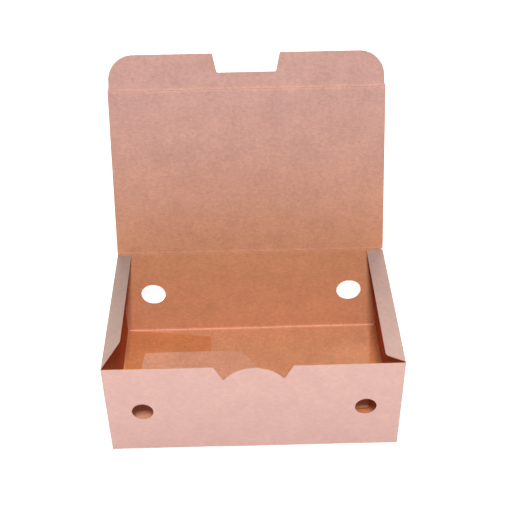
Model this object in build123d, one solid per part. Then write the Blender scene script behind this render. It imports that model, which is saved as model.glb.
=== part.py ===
from build123d import *
import os
from math import cos, radians, sin, sqrt

# An open takeaway box, folded from one sheet of solid kraft board.
# Millimetres, +Z up. The origin is the middle of the base's underside, and the front wall faces -Y.
# The sheet is split only at the creases that move in use: lid, tuck flap and the two dust flaps.

# Sheet
board = 0.5                   # thickness of the board
fold_radius = 0.4             # inside radius of the fixed folds
crease_gap = 0.15             # clearance at the creases that move, and between flaps that only lie together

# Tray
box_width = 205.0             # outside, along X
box_depth = 126.0             # outside, along Y
wall_height = 80.0            # table to the top of the front and back walls
corner_relief = 1.6           # how far a bottom crease stops short of the box's corner
front_vent = 15.0             # diameters of the round vents
back_vent = 19.4
front_vent_offset = 77.6      # middle of the box to the middle of a vent
back_vent_offset = 78.0
vent_height = 39.0            # table to the middle of the vents

# Front edge: a domed tongue between two V cuts
cut_mouth_offset = 27.0       # middle to the outer end of a V cut, on the top edge
cut_tip_offset = 20.7         # middle to the tip of a V cut
cut_depth = 12.25
tongue_drop = 1.3             # tongue's crown below the top edge
cut_tip_radius = 0.6

# Bottom: two long flaps that hook over each other, woven with two short ones that are glued to them
long_flap_reach = 95.0        # wall to the free edge of the tab
long_flap_root_inset = 5.0    # side wall to the tab's side, at the crease
long_flap_end_inset = 17.0    # side wall to the tab's side, at the free edge
long_flap_slant_offset = 8.7  # middle to where the free edge turns into the slanted hook edge
hook_offset = 9.4             # middle to the tip of the hook
hook_line_offset = 3.0        # middle to the slot that the two flaps pass each other in
slot_gap = 0.5                # width of that slot
lift = 3.0                    # how far the free edge springs up
rise_start = 1.5              # middle to where the tab starts to rise
long_flap_short_inset = 9.0   # side wall to the flap's short half, at its free edge
long_flap_corner = 2.5        # corner radius
short_flap_length = 69.0      # side wall to free edge
short_flap_root_inset = 1.4   # crease end to the neighbouring wall
short_flap_end_inset = 10.4   # flap to that wall at its free edge
glue_tab_length = 48.0        # side wall to the glue tab's corner
glue_tab_slope = 34.0         # how far back from the wall the tab's slanted end meets the free edge
glue_tab_inset = 4.0          # glue tab's corner to the neighbouring wall
short_flap_corner = 1.5

# Side seam: the strip that the back wall is glued on by, inside the right wall
seam_width = 14.0
seam_end_drop = 3.0           # how far the seam stops short of the wall's top and bottom
seam_slope = 4.0              # slant of the seam's two ends

# Lid and tuck flap, as they stand open
lid_lean = 21.9               # degrees back from upright
tuck_lean = 24.9
tuck_clearance = 0.4          # closed tuck flap to the inside of the front wall
tuck_side_inset = 1.0         # tuck flap's side to the lid's side
tuck_length = 25.8            # crease to free edge
tuck_corner = 18.5            # corner radius
notch_mouth = 49.5            # width of the notch at the free edge
notch_floor = 43.5            # and at its floor
notch_from_crease = 12.0
notch_corner = 1.0

# Dust flaps
left_dust_width = 10.2
right_dust_width = 12.2
left_dust_taper = 26.0        # length of the slant at the flap's front end
right_dust_taper = 6.6
left_dust_corner = 9.0        # radius where the slant meets the long edge
right_dust_corner = 3.0
dust_rear_taper = 1.2
dust_front_gap = 0.4          # front end to the closed tuck flap
dust_rear_gap = 0.3           # rear end to the fold at the box's corner

# Worked out from the sizes above
half_width = box_width / 2
half_depth = box_depth / 2
fold_outside = fold_radius + board
slope = lift / (long_flap_reach - half_depth - rise_start)
clear_offset = rise_start + (board + crease_gap) / slope   # from here on, a tab is above the opposite flap
short_flap_free_x = -half_width + short_flap_length
side_wall_top = wall_height - board - crease_gap
lid_axis_y = half_depth - board / 2
lid_axis_z = wall_height + crease_gap + board / 2
tuck_axis_closed_y = -half_depth + board + tuck_clearance + board / 2
lid_reach = lid_axis_y - tuck_axis_closed_y   # hinge crease to tuck crease
overrun = 1.0                                 # how far a cutting shape runs past what it cuts


def face_of(points):
    return make_face(Polyline(*points, close=True))


def rounded(face, spots, radius):
    # Rounds the corners of a flat outline that lie at the given spots.
    corners = [face.vertices().sort_by_distance(Vector(*spot))[0] for spot in spots]
    return fillet(corners, radius)


def quarter_fold(inside, outside):
    # Section of a fold whose centre is the origin and whose outside faces down and to the left.
    ring = Circle(outside) - Circle(inside) if inside else Circle(outside)
    return ring & Pos(-outside / 2, -outside / 2) * Rectangle(outside, outside)


def front_edge_cut():
    # Outline between the two V cuts: down one slant, over the domed tongue, up the other.
    tip_z = wall_height - cut_depth
    crown = (0, wall_height - tongue_drop)
    mouth_z = wall_height + overrun
    slant = (cut_mouth_offset - cut_tip_offset) / cut_depth
    mouth_x = cut_mouth_offset + overrun * slant
    outline = [
        Line((-mouth_x, mouth_z), (-cut_tip_offset, tip_z)),
        ThreePointArc((-cut_tip_offset, tip_z), crown, (cut_tip_offset, tip_z)),
        Line((cut_tip_offset, tip_z), (mouth_x, mouth_z)),
        Line((mouth_x, mouth_z), (-mouth_x, mouth_z)),
    ]
    tips = [(-cut_tip_offset, tip_z), (cut_tip_offset, tip_z)]
    return rounded(make_face(outline), tips, cut_tip_radius)


def through_wall(outline, wall_y):
    # A cutting shape that passes through the front or back wall.
    return Pos(0, wall_y, 0) * extrude(Plane.XZ * outline, board + overrun, both=True)


def vents(diameter, offset):
    return Pos(-offset, vent_height) * Circle(diameter / 2) + Pos(offset, vent_height) * Circle(diameter / 2)


def walls():
    # Four walls with rounded folds at the corners. The side walls stop lower at the top, where the
    # dust flaps fold in under the lid. Below the foot, each wall goes on to its flap's crease.
    foot = board + fold_outside
    outside = RectangleRounded(box_width, box_depth, fold_outside)
    inside = RectangleRounded(box_width - 2 * board, box_depth - 2 * board, fold_radius)
    ring = Pos(0, 0, foot) * extrude(outside - inside, wall_height - foot)
    side_length = box_depth - 2 * fold_outside
    for side in (-1, 1):
        headroom = wall_height + overrun - side_wall_top
        top = Box(board + overrun, side_length, headroom, align=(Align.CENTER, Align.CENTER, Align.MIN))
        ring -= Pos(side * (half_width - board / 2), 0, side_wall_top) * top
    wall_y = half_depth - board / 2
    ring -= through_wall(front_edge_cut(), -wall_y)
    ring -= through_wall(vents(front_vent, front_vent_offset), -wall_y)
    ring -= through_wall(vents(back_vent, back_vent_offset), wall_y)
    return ring


def side_seam():
    # Glued strip inside the right wall, from the back corner forwards.
    low = 2 * board + fold_outside + seam_end_drop
    high = side_wall_top - seam_end_drop
    root = half_depth - board
    free = root - seam_width
    outline = face_of([(root, low), (root, high), (free, high - seam_slope), (free, low + seam_slope)])
    return Pos(half_width - 2 * board, 0, 0) * extrude(Plane.YZ * outline, board)


def woven_flap(wall_y, crease_ends, step, outline, tab=None):
    # A bottom flap on the front wall. It lies one board up from its low end to the step, comes down
    # to the table over the step, and stays down to its other end. A tab goes on from it, sloping up.
    low_x, high_x = crease_ends
    spots = [(low_x, board), (step[0], board), (step[1], 0), (high_x, 0)]
    raised = [(x, z + board) for x, z in reversed(spots)]
    section = Plane.XZ * face_of(spots + raised)
    flap = Pos(0, wall_y, 0) * extrude(section, box_depth, dir=(0, 1, 0)) & extrude(outline, 3 * board)
    if tab:
        depth = long_flap_reach + overrun
        run = sqrt(1 + slope * slope) * depth
        sloped = Pos(0, rise_start, 0) * extrude(section, run, dir=(0, 1, slope))
        flap += sloped & extrude(tab, lift + 3 * board)
    fold = Plane.YZ * (Pos(wall_y + fold_outside, fold_outside) * quarter_fold(fold_radius, fold_outside))
    for (x, z), (next_x, next_z) in zip(spots, spots[1:]):
        run = sqrt((next_x - x) ** 2 + (next_z - z) ** 2)
        flap += Pos(x, 0, z) * extrude(fold, run, dir=(next_x - x, 0, next_z - z))
    band = [(x, z + fold_outside) for x, z in spots] + [(high_x, board + fold_outside)]
    return flap + Pos(0, wall_y, 0) * extrude(Plane.XZ * face_of(band[1:]), board, dir=(0, 1, 0))


def side_edge_x(y):
    # The tab's side, a straight slant away from the side wall.
    share = (y + half_depth) / long_flap_reach
    return -half_width + long_flap_root_inset + share * (long_flap_end_inset - long_flap_root_inset)


def long_flap(slot_x):
    # The front one. Its left half goes on as a tab that slopes up over the opposite flap, with a hook
    # past the slot. Its right half stops short of the middle, under the opposite flap's tab.
    root_y = -half_depth + fold_outside
    free_y = -half_depth + long_flap_reach
    crease_end = half_width - corner_relief
    outline = face_of([
        (side_edge_x(root_y), root_y),
        (side_edge_x(rise_start), rise_start),
        (slot_x, rise_start),
        (slot_x, -clear_offset),
        (half_width - long_flap_short_inset, -clear_offset),
        (crease_end, root_y),
    ])
    free_corner = (side_edge_x(free_y), free_y)
    slant_corner = (-long_flap_slant_offset, free_y)
    hook_tip = (hook_offset, clear_offset)
    tab = face_of([
        (side_edge_x(rise_start), rise_start),
        free_corner,
        slant_corner,
        hook_tip,
        (slot_x, clear_offset),
        (slot_x, rise_start),
    ])
    tab = rounded(tab, [free_corner, slant_corner], long_flap_corner)
    tab = rounded(tab, [hook_tip], long_flap_corner / 2)
    step = (short_flap_free_x, -hook_offset)
    return woven_flap(-half_depth, (side_edge_x(root_y), crease_end), step, outline, tab)


def short_flap():
    # The left one, drawn on the front wall's side of a box turned a quarter. Its tab, past the
    # slanted crease, is glued under the long flap's left half, and its other half lies on the back one.
    wall_y = -half_width
    root_y = wall_y + fold_outside
    free_y = wall_y + short_flap_length
    root_x = half_depth - short_flap_root_inset
    far_corner = (-half_depth + short_flap_end_inset, free_y)
    near_corner = (half_depth - glue_tab_slope, free_y)
    outline = face_of([
        (-root_x, root_y),
        (root_x, root_y),
        (half_depth - glue_tab_inset, wall_y + glue_tab_length),
        near_corner,
        far_corner,
    ])
    outline = rounded(outline, [near_corner, far_corner], short_flap_corner)
    step = (-clear_offset, -rise_start)
    return woven_flap(wall_y, (-root_x, root_x), step, outline).rotate(Axis.Z, -90)


def tray():
    # The bottom's two halves are alike, half a turn apart, but for which side of the slot they stop at.
    shape = walls() + side_seam()
    for turn, slot_x in ((0, hook_line_offset - slot_gap / 2), (180, -hook_line_offset - slot_gap / 2)):
        shape += (long_flap(slot_x) + short_flap()).rotate(Axis.Z, turn)
    return shape


def lid():
    # A plain panel with a rounded hinge end, built upright on its hinge line and leant back.
    length = lid_reach - board / 2 - crease_gap
    panel = Pos(0, length / 2) * Rectangle(board, length) + Circle(board / 2)
    upright = extrude(Plane.YZ * panel, half_width, both=True)
    return Pos(0, lid_axis_y, lid_axis_z) * Rot(X=-lid_lean) * upright


def tuck_flap():
    # Rounded corners and a wide notch in the free edge, built upright on its crease and leant back.
    half = half_width - tuck_side_inset
    free_corners = [(-half, tuck_length), (half, tuck_length)]
    outline = rounded(face_of([(-half, 0), (half, 0), *reversed(free_corners)]), free_corners, tuck_corner)
    notch_run = tuck_length - notch_from_crease
    widening = (notch_mouth - notch_floor) / 2 * overrun / notch_run
    mouth = notch_mouth / 2 + widening
    floor_corners = [(-notch_floor / 2, notch_from_crease), (notch_floor / 2, notch_from_crease)]
    notch = face_of([*floor_corners, (mouth, tuck_length + overrun), (-mouth, tuck_length + overrun)])
    outline -= rounded(notch, floor_corners, notch_corner)
    upright = extrude(Plane.XZ * outline, board / 2, both=True)
    upright += extrude(Plane.YZ * Circle(board / 2), half, both=True)
    lean = radians(lid_lean)
    axis_y = lid_axis_y + lid_reach * sin(lean)
    axis_z = lid_axis_z + lid_reach * cos(lean)
    return Pos(0, axis_y, axis_z) * Rot(X=-tuck_lean) * upright


def dust_flap(width, taper, corner):
    # Drawn for the left wall, lying level from a hinge line on the wall's inside top edge.
    front = tuck_axis_closed_y + board / 2 + dust_front_gap
    rear = half_depth - fold_outside - dust_rear_gap
    front_corner = (width, front + taper)
    outline = face_of([(0, front), front_corner, (width, rear - dust_rear_taper), (0, rear)])
    outline = rounded(outline, [front_corner], corner)
    edge = Rot(Z=-90) * quarter_fold(0, board)
    bend = Pos(0, rear, 0) * extrude(Plane.XZ * edge, rear - front)
    return Pos(-half_width + board, 0, side_wall_top + crease_gap) * (extrude(outline, board) + bend)


nodes = {
    "tray": tray(),
    "lid": lid(),
    "tuck_flap": tuck_flap(),
    "left_dust_flap": dust_flap(left_dust_width, left_dust_taper, left_dust_corner),
    "right_dust_flap": mirror(dust_flap(right_dust_width, right_dust_taper, right_dust_corner), Plane.YZ),
}

os.makedirs("parts", exist_ok=True)
for name, shape in nodes.items():
    export_step(shape, f"parts/{name}.step")
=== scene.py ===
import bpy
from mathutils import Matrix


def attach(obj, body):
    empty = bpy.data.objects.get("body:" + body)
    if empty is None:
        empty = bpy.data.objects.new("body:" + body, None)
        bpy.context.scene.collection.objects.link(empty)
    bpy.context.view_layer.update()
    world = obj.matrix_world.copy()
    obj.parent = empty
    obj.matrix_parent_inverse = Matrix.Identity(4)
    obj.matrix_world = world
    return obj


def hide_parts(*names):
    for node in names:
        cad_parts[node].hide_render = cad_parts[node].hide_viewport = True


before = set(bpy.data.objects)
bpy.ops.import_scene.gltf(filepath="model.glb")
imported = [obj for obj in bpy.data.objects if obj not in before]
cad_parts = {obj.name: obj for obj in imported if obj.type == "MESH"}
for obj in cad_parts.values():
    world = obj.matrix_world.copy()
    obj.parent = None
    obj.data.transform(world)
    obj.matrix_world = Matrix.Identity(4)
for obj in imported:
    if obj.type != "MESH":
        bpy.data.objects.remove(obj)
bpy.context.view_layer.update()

from math import cos, pi, radians, sin, tan

import bpy
import numpy as np
from mathutils import Matrix, Vector
from mathutils.geometry import delaunay_2d_cdt

# An open takeaway box, folded from one sheet of kraft board.
# Every length of the board is in millimetres and becomes metres where a mesh is made.
# The camera, the lights, the floor and the finish are in metres.

camera = {
    "azimuth": -0.65, "elevation": 38.12, "roll": -0.95,   # degrees
    "target": (0.0029, -0.063, 0.1741), "distance": 0.5730,
    "lens": 66.35, "sensor": 36, "near": 0.01, "far": 20,
}


def makeCamera(values):
    az, el, roll = (radians(values[key]) for key in ("azimuth", "elevation", "roll"))
    back = Vector((sin(az) * cos(el), -cos(az) * cos(el), sin(el)))
    levelRight = Vector((0, 0, 1)).cross(back).normalized()
    levelUp = back.cross(levelRight)
    right = cos(roll) * levelRight + sin(roll) * levelUp
    up = -sin(roll) * levelRight + cos(roll) * levelUp
    data = bpy.data.cameras.new("photoCamera")
    data.lens, data.sensor_width = values["lens"], values["sensor"]
    data.clip_start, data.clip_end = values["near"], values["far"]
    obj = bpy.data.objects.new("photoCamera", data)
    bpy.context.scene.collection.objects.link(obj)
    turned = Matrix((right, up, back)).transposed().to_4x4()
    place = Vector(values["target"]) + values["distance"] * back
    obj.matrix_world = Matrix.Translation(place) @ turned
    bpy.context.scene.camera = obj


studio = {
    "worldColour": (1.0, 1.0, 1.0), "worldStrength": 0.15,
    "keyPower": 11.4, "keySize": 0.085, "keyPlace": (0.008, -0.645, 0.82), "keyAim": (0, 0, 0.06),
    "backPower": 44.0, "backSize": 1.2, "backPlace": (0, 1.5, 1.1), "backAim": (0, 0.5, 0),
    "floorColour": (0.93, 0.93, 0.93), "floorRoughness": 0.9,
    "floorHalf": 6.0, "floorDrop": 0.0002,   # half the floor's side, and how far it lies under the box
}


def placeLight(light, place, aim):
    obj = bpy.data.objects.new(light.name, light)
    bpy.context.scene.collection.objects.link(obj)
    facing = (place - aim).to_track_quat("Z", "Y").to_matrix().to_4x4()
    obj.matrix_world = Matrix.Translation(place) @ facing


def makeStudio(values):
    world = bpy.data.worlds.new("studioWorld")
    world.use_nodes = True
    sky = world.node_tree.nodes["Background"]
    sky.inputs["Color"].default_value = (*values["worldColour"], 1)
    sky.inputs["Strength"].default_value = values["worldStrength"]
    bpy.context.scene.world = world
    for name in ("key", "back"):
        light = bpy.data.lights.new(name + "Light", "AREA")
        light.energy, light.size = values[name + "Power"], values[name + "Size"]
        placeLight(light, Vector(values[name + "Place"]), Vector(values[name + "Aim"]))
    half, low = values["floorHalf"], -values["floorDrop"]
    mesh = bpy.data.meshes.new("floor")
    corners = [(-half, -half, low), (half, -half, low), (half, half, low), (-half, half, low)]
    mesh.from_pydata(corners, [], [(0, 1, 2, 3)])
    floor = bpy.data.objects.new("floor", mesh)
    bpy.context.scene.collection.objects.link(floor)
    paint = bpy.data.materials.new("floorPaint")
    paint.use_nodes = True
    shader = paint.node_tree.nodes["Principled BSDF"]
    shader.inputs["Base Color"].default_value = (*values["floorColour"], 1)
    shader.inputs["Roughness"].default_value = values["floorRoughness"]
    mesh.materials.append(paint)
    bpy.context.scene.view_settings.view_transform = "Standard"


makeCamera(camera)
makeStudio(studio)
print("camera, light and floor made")


kraftLook = {
    # the second outside colour is painted shade: darker, as a dust flap tilted away from the lamp would
    # look
    "outside": (0.532, 0.328, 0.290), "outsidePaintedShade": (0.348, 0.238, 0.201),
    # inner face by the attribute tone, in even steps from 0 to 1:
    # lid, lid's foot (painted shade), short flaps (painted shade), tray, front flap, side walls
    # (painted shade)
    "insideTones": [(0.42, 0.236, 0.199), (0.448, 0.196, 0.106), (0.53, 0.192, 0.073),
                    (0.56, 0.25, 0.129), (0.565, 0.272, 0.168), (0.46, 0.11, 0.034)],
    # the crease colour is a painted highlight, standing in for light on the rounded folds
    "cutEdge": (0.46, 0.25, 0.17), "creaseHighlight": (0.80, 0.42, 0.30),
    "creaseShare": 0.7, "outerCrease": 0.15,      # strength of the crease line, and its share outside
    "cloudSize": 0.016, "cloudDepth": 0.04,       # slow change of tone, in metres and as a share
    "mottleSize": 0.0028, "mottleDepth": 0.045,
    "fibreSize": 0.0007, "fibreStretch": 5.0, "fibreDepth": 0.055,
    "alongTurn": (0.25, 0.35, 0.4), "crossTurn": (0.7, -0.5, -0.6),   # how the two fibre layers lie
    "fleckSize": 0.0011, "fleckDepth": 0.12,
    "cloudRange": (0.3, 0.7), "fibreRange": (0.25, 0.75), "fleckRange": (0.24, 0.32),  # of the noise
    "outsidePattern": 0.75, "insidePattern": 1.4,  # strength of all that variation on the two faces
    "roughness": 0.86, "specular": 0.25, "toothDepth": 0.00004,
}


def kraftBoard(look):
    # Colour = face colour, times clouds, mottle, two layers of crossed fibres and sparse flecks,
    # lighter along the creases (a painted highlight) and browner on the cut edge.
    material = bpy.data.materials.new("kraftBoard")
    material.use_nodes = True
    nodes, links = material.node_tree.nodes, material.node_tree.links
    shader = nodes["Principled BSDF"]
    place = nodes.new("ShaderNodeTexCoord")

    def noise(size, detail, stretch=(1, 1, 1), turn=(0, 0, 0)):
        mapping = nodes.new("ShaderNodeMapping")
        mapping.inputs["Scale"].default_value = stretch
        mapping.inputs["Rotation"].default_value = turn
        links.new(place.outputs["Object"], mapping.inputs["Vector"])
        texture = nodes.new("ShaderNodeTexNoise")
        texture.inputs["Scale"].default_value = 1 / size
        texture.inputs["Detail"].default_value = detail
        links.new(mapping.outputs["Vector"], texture.inputs["Vector"])
        return texture.outputs["Fac"]

    def spread(value, low, high, least, most):
        ranged = nodes.new("ShaderNodeMapRange")
        numbers = {"From Min": low, "From Max": high, "To Min": least, "To Max": most}
        for name, number in numbers.items():
            ranged.inputs[name].default_value = number
        links.new(value, ranged.inputs["Value"])
        return ranged.outputs["Result"]

    def around(value, limits, depth):
        # the noise between its limits becomes a factor from 1 - depth to 1 + depth
        return spread(value, *limits, 1 - depth, 1 + depth)

    def times(one, other):
        product = nodes.new("ShaderNodeMath")
        product.operation = "MULTIPLY"
        links.new(one, product.inputs[0])
        links.new(other, product.inputs[1])
        return product.outputs["Value"]

    def blend(base, over, share):
        mix = nodes.new("ShaderNodeMix")
        mix.data_type = "RGBA"   # its share is input 0, its colours are inputs 6 and 7 and output 2
        for socket, colour in ((mix.inputs[6], base), (mix.inputs[7], over)):
            if isinstance(colour, tuple):
                socket.default_value = (*colour, 1)
            else:
                links.new(colour, socket)
        links.new(share, mix.inputs[0])
        return mix.outputs[2]

    def strengthen(value, share):
        # 1 + (value - 1) * share
        away, back = nodes.new("ShaderNodeMath"), nodes.new("ShaderNodeMath")
        away.operation, back.operation = "SUBTRACT", "MULTIPLY_ADD"
        away.inputs[1].default_value = back.inputs[2].default_value = 1
        links.new(value, away.inputs[0])
        links.new(away.outputs["Value"], back.inputs[0])
        links.new(share, back.inputs[1])
        return back.outputs["Value"]

    def attribute(name):
        node = nodes.new("ShaderNodeAttribute")
        node.attribute_name = name
        return node.outputs["Fac"]

    slim = look["fibreStretch"]
    clouds = around(noise(look["cloudSize"], 3), look["cloudRange"], look["cloudDepth"])
    mottle = around(noise(look["mottleSize"], 2), look["cloudRange"], look["mottleDepth"])
    alongFibres = noise(look["fibreSize"], 2, (1 / slim, 1, 1), look["alongTurn"])
    crossFibres = noise(look["fibreSize"], 2, (1, 1 / slim, 1), look["crossTurn"])
    fibres = times(around(alongFibres, look["fibreRange"], look["fibreDepth"]),
                   around(crossFibres, look["fibreRange"], look["fibreDepth"]))
    flecks = spread(noise(look["fleckSize"], 1), *look["fleckRange"], 1 - look["fleckDepth"], 1)
    pattern = spread(attribute("inside"), 0, 1, look["outsidePattern"], look["insidePattern"])
    tone = strengthen(times(times(clouds, mottle), times(fibres, flecks)), pattern)
    ramp = nodes.new("ShaderNodeValToRGB")
    stops = ramp.color_ramp.elements
    for position in np.linspace(0, 1, len(look["insideTones"]))[1:-1]:
        stops.new(position)
    for stop, colour in zip(stops, look["insideTones"]):
        stop.color = (*colour, 1)
    links.new(attribute("tone"), ramp.inputs["Fac"])
    # painted shade: the outer face goes towards the darker outside colour by its attribute
    outer = blend(look["outside"], look["outsidePaintedShade"], attribute("paintedShade"))
    faces = blend(outer, ramp.outputs["Color"], attribute("inside"))
    # painted highlight along the creases, weaker on the outer face
    lineShare = times(spread(attribute("crease"), 0, 1, 0, look["creaseShare"]),
                      spread(attribute("inside"), 0, 1, look["outerCrease"], 1))
    faces = blend(faces, look["creaseHighlight"], lineShare)
    faces = blend(faces, look["cutEdge"], attribute("cutEdge"))
    toned = nodes.new("ShaderNodeVectorMath")
    toned.operation = "SCALE"
    links.new(faces, toned.inputs[0])
    links.new(tone, toned.inputs["Scale"])
    links.new(toned.outputs["Vector"], shader.inputs["Base Color"])
    bump = nodes.new("ShaderNodeBump")
    bump.inputs["Distance"].default_value = look["toothDepth"]
    links.new(fibres, bump.inputs["Height"])
    links.new(bump.outputs["Normal"], shader.inputs["Normal"])
    shader.inputs["Roughness"].default_value = look["roughness"]
    shader.inputs["Specular IOR Level"].default_value = look["specular"]
    return material


kraft = kraftBoard(kraftLook)
print("kraft board finish made")


sheet = {
    "board": 0.5,           # thickness
    "bend": 0.65,           # middle of the board at a fixed fold, from the fold's centre
    "bead": 0.4,            # radius of the crushed ridge along a crease that moves
    "beadCut": 0.985,       # how far below its crease the ridge is cut off, as a share of its radius
    # a crease's light line is a painted highlight
    "creaseWidth": 1.2,     # how far the light line reaches either side of a crease
    "meshStep": 4.2,        # largest cell of the mesh
    "arcStep": 1.2,         # longest piece of a rounded corner
    "smoothAngle": 40,      # degrees between faces past which an edge stays sharp
}
board, bend = sheet["board"], sheet["bend"]
outerBend = bend + board / 2
quarter = bend * pi / 2
far = 99.0                  # a distance at which nothing is left of a crease's light line
millimetre = 0.001


def roundCorners(points, radii):
    # Outline with arcs: each corner with a radius gives way to an arc that touches both its sides.
    # A point of the arc is the arc's centre plus its two end spokes, weighted by sines of the angle.
    points = [np.array(p, float) for p in points]
    out = []
    for i, (corner, radius) in enumerate(zip(points, radii)):
        if not radius:
            out.append(corner[None])
            continue
        before = points[i - 1] - corner
        after = points[(i + 1) % len(points)] - corner
        before, after = before / np.linalg.norm(before), after / np.linalg.norm(after)
        half = np.arccos(np.clip(before @ after, -1, 1)) / 2
        middle = (before + after) / np.linalg.norm(before + after)
        centre = corner + middle * radius / sin(half)
        first = corner + before * radius / tan(half) - centre
        last = corner + after * radius / tan(half) - centre
        sweep = pi - 2 * half
        steps = max(3, int(sweep * max(radius, 1) / sheet["arcStep"]))
        t = np.linspace(0, 1, steps + 1)[:, None]
        spokes = np.sin((1 - t) * sweep) * first + np.sin(t * sweep) * last
        out.append(centre + spokes / sin(sweep))
    return np.concatenate(out)


def circle(centre, radius, count=40):
    # Points at even angles: the centre plus the radius times cosine and sine.
    turn = np.linspace(0, 2 * pi, count, endpoint=False)
    return np.stack([centre[0] + radius * np.cos(turn), centre[1] + radius * np.sin(turn)], 1)


def refine(loop, step):
    # The same closed line with no piece longer than the step.
    onward = np.roll(loop, -1, 0)
    counts = np.maximum(1, np.ceil(np.linalg.norm(onward - loop, axis=1) / step).astype(int))
    start = np.repeat(loop, counts, 0)
    share = np.concatenate([np.arange(n) / n for n in counts])[:, None]
    return start + share * (np.repeat(onward, counts, 0) - start)


def isInside(points, loop):
    # Counts how often a ray to the right of each point crosses the closed line.
    (ax, ay), (bx, by) = loop.T, np.roll(loop, -1, 0).T
    px, py = points[:, :1], points[:, 1:]
    crosses = (ay > py) != (by > py)
    reach = ax + (py - ay) * (bx - ax) / np.where(by == ay, 1, by - ay)
    return (crosses & (px < reach)).sum(1) % 2 == 1


def distanceTo(points, loop):
    # Distance of each point from the nearest piece of the closed line.
    start, way = loop, np.roll(loop, -1, 0) - loop
    offset = points[:, None] - start
    share = np.clip((offset * way).sum(2) / (way ** 2).sum(1), 0, 1)
    return np.linalg.norm(offset - share[..., None] * way, axis=2).min(1)


def blankTriangles(outline, holes, inner, margin):
    # Cuts the blank's flat area into triangles that keep the outline, the holes, and the inner
    # points that lie further than the margin from both.
    atOnce, weld, sliver = 1500, 1e-6, 1e-7
    loops = [refine(loop, sheet["meshStep"]) for loop in (outline, *holes)]
    inner = inner[isInside(inner, loops[0])]
    for loop in loops[1:]:
        inner = inner[~isInside(inner, loop)]
    parts = np.array_split(inner, max(1, len(inner) // atOnce))
    near = [np.min([distanceTo(part, loop) for loop in loops], 0) for part in parts]
    inner = inner[np.concatenate(near) > margin]
    starts = np.cumsum([0] + [len(loop) for loop in loops])
    edges = [(int(a + i), int(a + (i + 1) % (b - a)))
             for a, b in zip(starts, starts[1:]) for i in range(b - a)]
    points = np.concatenate([*loops, inner])
    cut = delaunay_2d_cdt([Vector(p) for p in points], edges, [], 1, weld)
    flat, triangles = np.array(cut[0]), np.array(cut[2])
    middle = flat[triangles].mean(1)
    keep = isInside(middle, loops[0])
    for loop in loops[1:]:
        keep &= ~isInside(middle, loop)
    triangles = triangles[keep]
    a, b, c = flat[triangles[:, 0]], flat[triangles[:, 1]], flat[triangles[:, 2]]
    area = (b[:, 0] - a[:, 0]) * (c[:, 1] - a[:, 1]) - (b[:, 1] - a[:, 1]) * (c[:, 0] - a[:, 0])
    triangles = np.where((area < 0)[:, None], triangles[:, ::-1], triangles)
    triangles = triangles[np.abs(area) > sliver]
    used = np.unique(triangles)
    renumber = np.zeros(len(flat), int)
    renumber[used] = np.arange(len(used))
    return flat[used], renumber[triangles]


def thickSheet(name, triangles, middle, normal, half, node, crease=0.0, tone=0.0, paintedShade=0.0, flip=False):
    # A closed sheet: the outer skin is middle + half * normal, the inner skin is
    # middle - half * normal, and a band joins them along every edge that only one triangle has.
    # It stands for the CAD node and rides on the body of the same name.
    count = len(middle)
    half = np.broadcast_to(half, (count,))[:, None]
    points = np.concatenate([middle + half * normal, middle - half * normal])
    ways = np.concatenate([triangles[:, [0, 1]], triangles[:, [1, 2]], triangles[:, [2, 0]]])
    codes, backCodes = ways[:, 0] * count + ways[:, 1], ways[:, 1] * count + ways[:, 0]
    rim = ways[~np.isin(codes, backCodes)]
    band = np.stack([rim[:, 1], rim[:, 0], rim[:, 0] + count, rim[:, 1] + count], 1)
    skins = np.concatenate([triangles, triangles[:, ::-1] + count])
    if flip:
        skins, band = skins[:, ::-1], band[:, ::-1]
    mesh = bpy.data.meshes.new(name)
    mesh.from_pydata(points * millimetre, [], skins.tolist() + band.tolist())
    inside = mesh.attributes.new("inside", "FLOAT", "POINT")
    inside.data.foreach_set("value", np.repeat([0.0, 1.0], count))
    for label, share in (("crease", crease), ("tone", tone), ("paintedShade", paintedShade)):
        share = np.broadcast_to(share, (count,)).astype(float)
        mesh.attributes.new(label, "FLOAT", "POINT").data.foreach_set("value", np.tile(share, 2))
    isBand = np.repeat([0.0, 1.0], [len(skins), len(band)])
    mesh.attributes.new("cutEdge", "FLOAT", "FACE").data.foreach_set("value", isBand)
    mesh.polygons.foreach_set("use_smooth", np.ones(len(isBand), bool))
    mesh.set_sharp_from_angle(angle=radians(sheet["smoothAngle"]))
    mesh.materials.append(kraft)
    mesh.update()
    obj = bpy.data.objects.new(name, mesh)
    bpy.context.scene.collection.objects.link(obj)
    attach(obj, node)
    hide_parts(node)
    print(name, len(points), "points")


def glow(distance):
    # Bell curve: 1 on a crease, and nearly nothing two crease widths away; it spreads the painted
    # highlight.
    return np.exp(-(distance / sheet["creaseWidth"]) ** 2)


def smoothStep(value):
    # From 0 to 1 with level ends: three t squared less two t cubed.
    t = np.clip(value, 0, 1)
    return t * t * (3 - 2 * t)


def gridOf(columns, rows):
    # Every crossing of the columns and the rows.
    a, b = np.meshgrid(columns, rows)
    return np.stack([a.ravel(), b.ravel()], 1)


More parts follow.
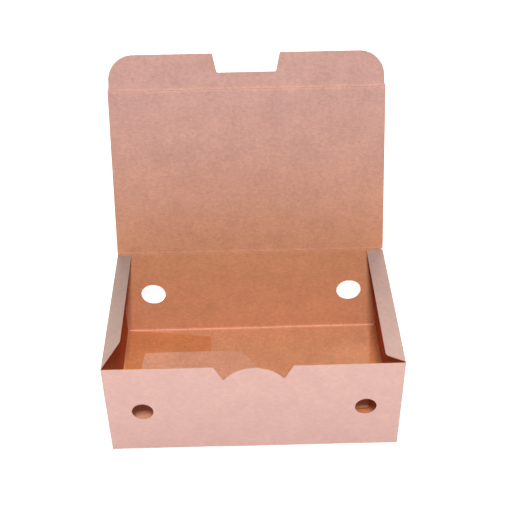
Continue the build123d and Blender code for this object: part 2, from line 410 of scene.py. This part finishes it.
# Walls and woven bottom are one blank.
tray = {
    "width": 205.0, "depth": 126.0, "height": 80.0, "sideTop": 79.35, "backTop": 80.1, "foot": 1.4,
    "cornerLow": 0.1, "cornerSlit": 0.03,   # a corner's own foot, and the slit beside a flap's crease
    "frontVent": 7.5, "frontVentAt": 77.6, "backVent": 9.7, "backVentAt": 78.0, "ventHeight": 39.0,
    "cutMouth": 27.0, "cutTip": 20.7, "cutDepth": 12.25, "tongueDrop": 1.3, "tipRadius": 0.6,
    "seamWidth": 13.6, "seamLow": 4.9, "seamHigh": 76.35, "seamSlope": 4.0, "seamGap": 0.02,
    "seamToe": 0.9, "seamSetback": 0.4,     # start of the strip's toe, and the right wall's end
    "bulge": 0.4,                           # how far the middle of a wall bows out
    "longReach": 95.0, "longRoot": -97.39, "longShoulder": (-101.4, 3.6), "longEnd": -85.5,
    "longSlant": -8.7, "hook": 9.4, "longShortHalf": 93.5, "longCrease": 101.4, "past": 8.11,
    "longCorners": [0, 3.0, 2.5, 2.5, 1.2, 0, 0, 1.5, 0],
    "lift": 3.0, "riseStart": 1.5, "riseBlend": 2.5,
    "slots": {"back": -3.25, "front": 2.75},
    "shortReach": 69.0, "shortRoot": 61.9, "shortFar": -52.6, "glueCorner": (59.0, 48.0),
    "glueEnd": 29.0, "shortCorners": [0, 1.5, 1.5, 2.0, 0],
    "longStep": (-33.5, -9.4), "shortStep": (-8.11, -1.5),
    # places in insideTones; the side walls' and the short flaps' tones are painted shade
    "tone": 0.6, "wallShadeTone": 1.0, "shortFlapShadeTone": 0.4, "frontTone": 0.8,
    # strength of the painted highlight on each crease
    "longGlow": 1.0, "shortGlow": 0.4, "cornerGlow": 0.3, "glueGlow": 0.35, "hingeGlow": 0.3,
    "hingeLine": 0.4,                       # the hinge's own line, above the wall's height
    "frontToneFrom": -0.5,                  # how far before its fold the front flap's tone begins
    "creaseSlack": 0.1,                     # a flap's crease counts this much wider at both ends
    "foldDone": 1.57,                       # radians, nearly a quarter turn
}
trayMesh = {
    "ringSteps": 12, "bendColumns": 9, "besideBend": [0.4, 0.9, 1.8], "runInset": (4, 3),
    "foldRows": (0.0, 2.2, 0.13), "belowFold": [2.6, 3.4, 4.8], "flapRows": (7.0, 98),
    "aboveFold": [0.6, 1.2, 2.2], "wallRows": (5.0, 78), "tonguePoints": 25,
    "glueLine": (1.5, 66, 22), "besideGlueLine": [-1.1, -0.55, 0, 0.55, 1.1], "margin": 0.16,
}
halfWidth, halfDepth = tray["width"] / 2, tray["depth"] / 2


def ringPath():
    # The walls' middle line: straight runs joined by quarter circles, from the glued seam strip
    # inside the right wall, round the back, left and front, to the right wall's end.
    # Gives the line's points, its normal angles, its lengths so far, and each quarter circle's ends.
    cx, cy = halfWidth - outerBend, halfDepth - outerBend
    stripX = halfWidth - 1.5 * board - tray["seamGap"]
    centres = [(stripX - bend, cy), (-cx, cy), (-cx, -cy), (cx, -cy)]
    points, angles, marks, steps = [(stripX, cy - tray["seamWidth"])], [0.0], [], trayMesh["ringSteps"]
    for k, (x, y) in enumerate(centres):
        turn = np.linspace(k, k + 1, steps + 1) * pi / 2
        marks.append(len(points))
        points += list(zip(x + bend * np.cos(turn), y + bend * np.sin(turn)))
        angles += list(turn)
    points.append((halfWidth - board / 2, halfDepth - tray["seamSetback"]))
    angles.append(2 * pi)
    points = np.array(points)
    lengths = np.linalg.norm(np.diff(points, axis=0), axis=1)
    along = np.concatenate([[0], np.cumsum(lengths)])
    return points, np.array(angles), along, [(along[m], along[m + steps]) for m in marks]


# Walls are numbered along the line: 0 seam strip, 1 back, 2 left, 3 front, 4 right.
ring, ringAngles, ringAlong, arcs = ringPath()
ringEnd = ringAlong[-1]
wallMiddles = np.array([0, arcs[0][1] + ring[1 + trayMesh["ringSteps"], 0],
                        arcs[1][1] + halfDepth - outerBend,
                        arcs[2][1] + halfWidth - outerBend, arcs[3][1] + halfDepth - outerBend])
wallDepths = np.array([0, halfDepth, halfWidth, halfDepth, halfWidth])
wallSplits = np.array([(a + b) / 2 for a, b in arcs])


def flapLevel(x, isLong):
    # Underside of a flap: one board up at its left, smoothly down to the table over its step.
    lowX = np.where(isLong, tray["longStep"][0], tray["shortStep"][0])
    highX = np.where(isLong, tray["longStep"][1], tray["shortStep"][1])
    return board * (1 - smoothStep((x - lowX) / (highX - lowX)))


def tabRise(y):
    # Rise of a long flap's tab, and its slope: nothing, then a parabola, then a straight slope.
    start, blend = tray["riseStart"], tray["riseBlend"]
    slope = tray["lift"] / (tray["longReach"] - halfDepth - start)
    away = y - start
    curved = slope * (away + blend) ** 2 / (4 * blend)
    steep = slope * np.clip((away + blend) / (2 * blend), 0, 1)
    return np.where(away < -blend, 0, np.where(away < blend, curved, slope * away)), steep


def foldBlank(u, v):
    # Above the foot a point stands on the walls' line, v high, bowed out by sine times cosine.
    # Below it, the way down from the foot goes along the wall, round the fold's quarter circle,
    # and in along the bottom flap.
    wall = np.searchsorted(wallSplits, u)
    angle = np.interp(u, ringAlong, ringAngles)
    ringX, ringY = np.interp(u, ringAlong, ring[:, 0]), np.interp(u, ringAlong, ring[:, 1])
    isLong = (wall == 1) | (wall == 3)
    x = u - wallMiddles[wall]
    level = flapLevel(x, isLong)
    down = np.maximum(tray["foot"] - v, 0)
    straight = np.minimum(down, board - level)
    turn = np.clip((down - straight) / bend, 0, pi / 2)
    inward = np.maximum(down - straight - quarter, 0)
    y = -wallDepths[wall] + outerBend - bend * np.cos(turn) + inward
    rise, steep = tabRise(y)
    rise, steep = np.where(isLong, rise, 0), np.where(isLong, steep, 0)
    z = tray["foot"] - straight - bend * np.sin(turn) + rise
    tilt = np.sqrt(1 + steep ** 2)
    past = turn > tray["foldDone"]
    normalY, normalZ = (steep * past - np.cos(turn)) / tilt, -np.sin(turn) / tilt
    facing = wall * pi / 2 - 1.5 * pi
    flapMiddle = np.stack([x * np.cos(facing) - y * np.sin(facing),
                           x * np.sin(facing) + y * np.cos(facing), z], 1)
    flapNormal = np.stack([-normalY * np.sin(facing), normalY * np.cos(facing), normalZ], 1)
    wallNormal = np.stack([np.cos(angle), np.sin(angle), np.zeros_like(u)], 1)
    share = np.where(np.isin(wall, (1, 3)), ringX / halfWidth, ringY / halfDepth)
    upward = np.sin(pi * np.clip(v, 0, tray["height"]) / tray["height"])
    bow = tray["bulge"] * upward * np.cos(pi / 2 * np.clip(share, -1, 1))
    wallMiddle = np.stack([ringX, ringY, v], 1) + bow[:, None] * wallNormal
    creaseStart = np.where(isLong, tray["longShoulder"][0], -tray["shortRoot"]) - tray["creaseSlack"]
    creaseEnd = np.where(isLong, tray["longCrease"], tray["shortRoot"]) + tray["creaseSlack"]
    isFlap = (wall > 0) & (v < tray["foot"]) & (x > creaseStart) & (x < creaseEnd)
    isFlap = isFlap[:, None]
    return np.where(isFlap, flapMiddle, wallMiddle), np.where(isFlap, flapNormal, wallNormal)


def onBlank(wall, points):
    # Plan places on a bottom flap, seen with its wall in front, to places on the flat blank.
    x, y = np.array(points, float).T
    down = board - flapLevel(x, wall in (1, 3)) + quarter + y + wallDepths[wall] - outerBend
    return np.stack([wallMiddles[wall] + x, tray["foot"] - down], 1)


def flapOutline(wall):
    # One bottom flap from its crease's left end round to its right end, between two corner feet.
    if wall in (1, 3):
        root, free = -halfDepth + outerBend, tray["longReach"] - halfDepth
        slot, past = tray["slots"]["back" if wall == 1 else "front"], tray["past"]
        shoulder, height = tray["longShoulder"]
        side = tray["longRoot"] + (tray["longEnd"] - tray["longRoot"]) * height / (free - root)
        corners = [(shoulder, root), (side, root + height), (tray["longEnd"], free),
                   (tray["longSlant"], free), (tray["hook"], past), (slot, past), (slot, -past),
                   (tray["longShortHalf"], -past), (tray["longCrease"], root)]
        radii = tray["longCorners"]
    else:
        root, free = -halfWidth + outerBend, tray["shortReach"] - halfWidth
        glueX, glueY = tray["glueCorner"]
        corners = [(-tray["shortRoot"], root), (tray["shortFar"], free), (tray["glueEnd"], free),
                   (glueX, glueY - halfWidth), (tray["shortRoot"], root)]
        radii = tray["shortCorners"]
    flap = onBlank(wall, roundCorners(corners, radii))
    foot, low, slit = tray["foot"], tray["cornerLow"], tray["cornerSlit"]
    before = [(flap[0, 0] - slit, low), (flap[0, 0] - slit, foot), (flap[0, 0], foot)]
    after = [(flap[-1, 0], foot), (flap[-1, 0] + slit, foot), (flap[-1, 0] + slit, low)]
    return np.concatenate([before, flap, after])


def frontCut():
    # The front wall's top cut: two straight V sides and a tongue between them, which is the arc
    # of a circle through the two tips and the crown.
    high, tip = tray["height"], tray["cutTip"]
    sagitta = tray["cutDepth"] - tray["tongueDrop"]
    radius = (tip ** 2 + sagitta ** 2) / (2 * sagitta)
    reach, count = np.arcsin(tip / radius), trayMesh["tonguePoints"]
    sweep = np.linspace(reach, -reach, count)
    crown = high - tray["tongueDrop"]
    tongue = np.stack([radius * np.sin(sweep), crown - radius * (1 - np.cos(sweep))], 1)
    cut = [(tray["cutMouth"], high), *tongue, (-tray["cutMouth"], high)]
    radii = [0, tray["tipRadius"]] + [0] * (count - 2) + [tray["tipRadius"], 0]
    return roundCorners(cut, radii) + (wallMiddles[3], 0)


def trayOutline():
    # Round the blank: the walls' feet and bottom flaps one way, the walls' tops back the other way.
    high, side, low = tray["height"], tray["sideTop"], tray["cornerLow"]
    strip = [(0, tray["seamLow"] + tray["seamSlope"]), (arcs[0][0] - tray["seamToe"], tray["seamLow"]),
             (arcs[0][0], low), (arcs[0][1], low)]
    feet = [flapOutline(1)]
    for k in (1, 2, 3):
        feet += [[(arcs[k][0], low), (arcs[k][1], low)], flapOutline(k + 1)]
    top = [(ringEnd, low), (ringEnd, side), (arcs[3][1], side), (arcs[3][1], high), (arcs[3][0], high),
           *frontCut(), (arcs[2][1], high), (arcs[2][0], high), (arcs[2][0], side), (arcs[1][1], side),
           (arcs[1][1], high), (arcs[1][0], tray["backTop"]), (arcs[0][1], tray["backTop"]),
           (arcs[0][0], tray["seamHigh"]), (0, tray["seamHigh"] - tray["seamSlope"])]
    return np.concatenate([strip, *feet, top])


def trayPoints():
    # Inner points of the blank: a grid that is finer at the bends and folds, and lines along the
    # short flaps' diagonal glue creases.
    step, foot, beside = sheet["meshStep"], tray["foot"], np.array(trayMesh["besideBend"])
    columns = [np.linspace(a, b, trayMesh["bendColumns"]) for a, b in arcs]
    columns += [np.concatenate([a - beside, b + beside]) for a, b in arcs]
    bounds = [0.0, *[x for arc in arcs for x in arc], ringEnd]
    first, last = trayMesh["runInset"]
    columns += [np.arange(a + first, b - last, step) for a, b in zip(bounds[::2], bounds[1::2])]
    rows = [foot - np.arange(*trayMesh["foldRows"]), foot - np.array(trayMesh["belowFold"]),
            foot - np.arange(*trayMesh["flapRows"], step), foot + np.array(trayMesh["aboveFold"]),
            foot + np.arange(*trayMesh["wallRows"], step)]
    grid = gridOf(np.sort(np.concatenate(columns)), np.sort(np.concatenate(rows)))
    diagonal = np.linspace(*trayMesh["glueLine"])
    lines = [onBlank(wall, np.stack([tray["shortRoot"] - diagonal + shift,
                                     -halfWidth + outerBend + diagonal + shift], 1))
             for wall in (2, 4) for shift in trayMesh["besideGlueLine"]]
    return np.concatenate([grid, *lines])


def trayMarks(u, v):
    # The painted highlight of each crease, and the inner face's tone.
    wall = np.searchsorted(wallSplits, u)
    x = u - wallMiddles[wall]
    isLong = (wall == 1) | (wall == 3)
    down = tray["foot"] - v
    level = board - flapLevel(x, isLong)
    inward = down - level - quarter
    fold = np.abs(down - level - quarter / 2)
    corners = np.min([np.abs(u - split) for split in wallSplits], 0)
    onShort = ~isLong & (wall > 0) & (inward > 0)
    slant = np.where(onShort, np.abs(x + inward - tray["shortRoot"]) / 2 ** 0.5, far)
    hinge = np.where(wall == 1, tray["height"] + tray["hingeLine"] - v, far)
    crease = np.max([np.where(isLong, tray["longGlow"], tray["shortGlow"]) * glow(fold),
                     tray["cornerGlow"] * glow(np.where(v > tray["foot"], corners, far)),
                     tray["glueGlow"] * glow(slant), tray["hingeGlow"] * glow(hinge)], 0)
    # every wall but the back takes the side walls' darker, redder tone: painted shade for the shade
    # inside the box
    tone = np.where(wall == 1, tray["tone"], tray["wallShadeTone"])
    tone = np.where((wall == 3) & (inward > tray["frontToneFrom"]), tray["frontTone"], tone)
    # painted shade: the short flaps darker and browner, as they lie low in the shade of the long flaps
    tone = np.where(onShort, tray["shortFlapShadeTone"], tone)
    return crease, tone


def makeTray():
    height = tray["ventHeight"]
    places = [(3, side * tray["frontVentAt"], tray["frontVent"]) for side in (-1, 1)]
    places += [(1, side * tray["backVentAt"], tray["backVent"]) for side in (-1, 1)]
    holes = [circle((wallMiddles[wall] + x, height), radius) for wall, x, radius in places]
    flat, triangles = blankTriangles(trayOutline(), holes, trayPoints(), trayMesh["margin"])
    crease, tone = trayMarks(*flat.T)
    middle, normal = foldBlank(*flat.T)
    thickSheet("trayBoard", triangles, middle, normal, board / 2, "tray", crease, tone)


makeTray()


lid = {
    "lean": 21.9, "axis": (62.75, 80.4), "halfWidth": 102.5, "length": 124.2, "tuckCrease": 124.6,
    "bulge": 0.6, "hingeShadeTone": 0.2, "hingeShadeFade": 1.4,   # tone at the hinge, and how fast it fades
    "hingeGlow": 0.3, "tuckGlow": 0.35,
    "endRows": [0.4, 0.9, 1.7], "endInset": 3, "inset": (2, 1), "margin": 0.1,
}
tuck = {
    "lean": 24.9, "creaseHalf": 102.4, "halfWidth": 101.5, "length": 25.8, "corner": 18.5,
    "taperFrom": 0.5, "taperMiddle": (0.4, 1.0), "taperTo": 4.0,   # from the crease's width inwards
    "notchMouth": 49.5, "notchFloor": 43.5, "notchFrom": 12.0, "notchCorner": 1.0,
    "glow": 0.35, "meshStep": 3.0, "inset": (2, 1), "margin": 0.1,
}


def leaningPanel(flat, axis, lean, bow):
    # Across the panel goes to -X, and up the panel leans back by the angle.
    # The bow pushes its middle out.
    across, up = flat.T
    way = (sin(radians(lean)), cos(radians(lean)))
    middle = np.stack([-across, axis[0] + up * way[0], axis[1] + up * way[1]], 1)
    normal = np.tile([0.0, way[1], -way[0]], (len(flat), 1))
    return middle + bow[:, None] * normal, normal


def beadHalf(up):
    # Half thickness: a round ridge about the crease, and the plain board beyond it.
    ridge = np.sqrt(np.maximum(sheet["bead"] ** 2 - up ** 2, 0))
    return np.where(up < 0, ridge, np.maximum(ridge, board / 2))


# rows of points over the ridge, by angle, and then beside it
beadRows = sheet["bead"] * np.sin(np.radians([-75, -58, -42, -26, -10, 8, 26, 40, 51]))
hingeRows, hingeEnd, panelStart = [*beadRows, 0.6, 1.1, 1.8], 4.5, -sheet["bead"] * sheet["beadCut"]


def makeLid():
    # A plain rectangle that bows out by sine up it times cosine across it.
    half, length, step = lid["halfWidth"], lid["length"], sheet["meshStep"]
    outline = np.array([(-half, panelStart), (half, panelStart), (half, length), (-half, length)])
    rows = np.concatenate([hingeRows, np.arange(hingeEnd, length - lid["endInset"], step),
                           length - np.array(lid["endRows"])])
    first, last = lid["inset"]
    inner = gridOf(np.arange(-half + first, half - last, step), rows)
    flat, triangles = blankTriangles(outline, [], inner, lid["margin"])
    across, up = flat.T
    bow = lid["bulge"] * np.sin(pi * np.clip(up / length, 0, 1)) * np.cos(pi * across / (2 * half))
    middle, normal = leaningPanel(flat, lid["axis"], lid["lean"], bow)
    crease = np.maximum(lid["hingeGlow"] * glow(up), lid["tuckGlow"] * glow(up - lid["tuckCrease"]))
    # painted shade: the lid's inner face turns darker and browner towards the hinge
    tone = lid["hingeShadeTone"] * (1 - np.clip(up / length, 0, 1)) ** lid["hingeShadeFade"]
    thickSheet("lidBoard", triangles, middle, normal, beadHalf(up), "lid", crease, tone)


def makeTuck():
    # As wide as the lid at its crease, then narrower, with round corners and a wide notch.
    half, length, step = tuck["halfWidth"], tuck["length"], tuck["meshStep"]
    mouth, floor, wide = tuck["notchMouth"] / 2, tuck["notchFloor"] / 2, tuck["creaseHalf"]
    outward, bendUp = tuck["taperMiddle"]
    right = [(wide, panelStart), (wide, tuck["taperFrom"]), (half + outward, bendUp),
             (half, tuck["taperTo"]), (half, length), (mouth, length), (floor, tuck["notchFrom"])]
    radii = [0, 0, 0, 0, tuck["corner"], 0, tuck["notchCorner"]]
    outline = roundCorners(right + [(-x, y) for x, y in right[::-1]], radii + radii[::-1])
    rows = np.concatenate([hingeRows, np.arange(hingeEnd, length, step)])
    first, last = tuck["inset"]
    inner = gridOf(np.arange(-half + first, half - last, step), rows)
    flat, triangles = blankTriangles(outline, [], inner, tuck["margin"])
    up = flat[:, 1]
    axis = (lid["axis"][0] + lid["tuckCrease"] * sin(radians(lid["lean"])),
            lid["axis"][1] + lid["tuckCrease"] * cos(radians(lid["lean"])))
    middle, normal = leaningPanel(flat, axis, tuck["lean"], np.zeros(len(flat)))
    thickSheet("tuckBoard", triangles, middle, normal, beadHalf(up), "tuck_flap",
               tuck["glow"] * glow(up))


makeLid()
makeTuck()


dustFlap = {
    "hinge": (102.0, 79.5), "front": -61.2, "rear": 61.8, "rearTaper": 1.2, "rearCorner": 0.6,
    "skirt": 0.15,                         # how far it reaches down below its fold
    # the last number of each side is its share of painted shade on the top face
    "left": {"width": 10.2, "taper": 26.0, "corner": 9.0, "paintedShade": 1.0},
    "right": {"width": 12.2, "taper": 6.6, "corner": 3.0, "paintedShade": 0.6},   # dull: see outsidePaintedShade
    "glow": 0.7, "foldColumns": 7, "besideFold": [0.4, 0.9, 1.6],
    "levelFrom": 3.4, "columnStep": 2.6, "rowInset": 1, "rowStep": 3.0, "margin": 0.04,
}


def makeDustFlap(side):
    # Across from the hinge: a short skirt down to the wall's top, a quarter circle about the
    # hinge line, then level.
    own = dustFlap[side]
    width, front, rear = own["width"], dustFlap["front"], dustFlap["rear"]
    middleBend = board / 2
    arc = middleBend * pi / 2
    start = -arc - dustFlap["skirt"]
    corners = [(start, front), (0, front), (width, front + own["taper"]),
               (width, rear - dustFlap["rearTaper"]), (0, rear), (start, rear)]
    outline = roundCorners(corners, [0, 0, own["corner"], dustFlap["rearCorner"], 0, 0])
    columns = np.concatenate([-np.linspace(0, arc, dustFlap["foldColumns"]), dustFlap["besideFold"],
                              np.arange(dustFlap["levelFrom"], width, dustFlap["columnStep"])])
    rows = np.arange(front + dustFlap["rowInset"], rear, dustFlap["rowStep"])
    inner = gridOf(columns, rows)
    flat, triangles = blankTriangles(outline, [], inner, dustFlap["margin"])
    across, along = flat.T
    turn = np.clip(-across / middleBend, 0, pi / 2)
    hingeX, hingeZ = dustFlap["hinge"]
    x = -hingeX + np.maximum(across, 0) - middleBend * np.sin(turn)
    z = hingeZ + middleBend * np.cos(turn) - np.maximum(-across - arc, 0)
    middle = np.stack([x, along, z], 1)
    normal = np.stack([-np.sin(turn), np.zeros_like(x), np.cos(turn)], 1)
    mirror = side == "right"
    if mirror:
        middle[:, 0] *= -1
        normal[:, 0] *= -1
    # the top face takes its share of painted shade, and the underside the walls' painted-shade tone
    thickSheet(side + "DustBoard", triangles, middle, normal, board / 2, side + "_dust_flap",
               dustFlap["glow"] * glow(across), tray["wallShadeTone"], own["paintedShade"], mirror)


makeDustFlap("left")
makeDustFlap("right")
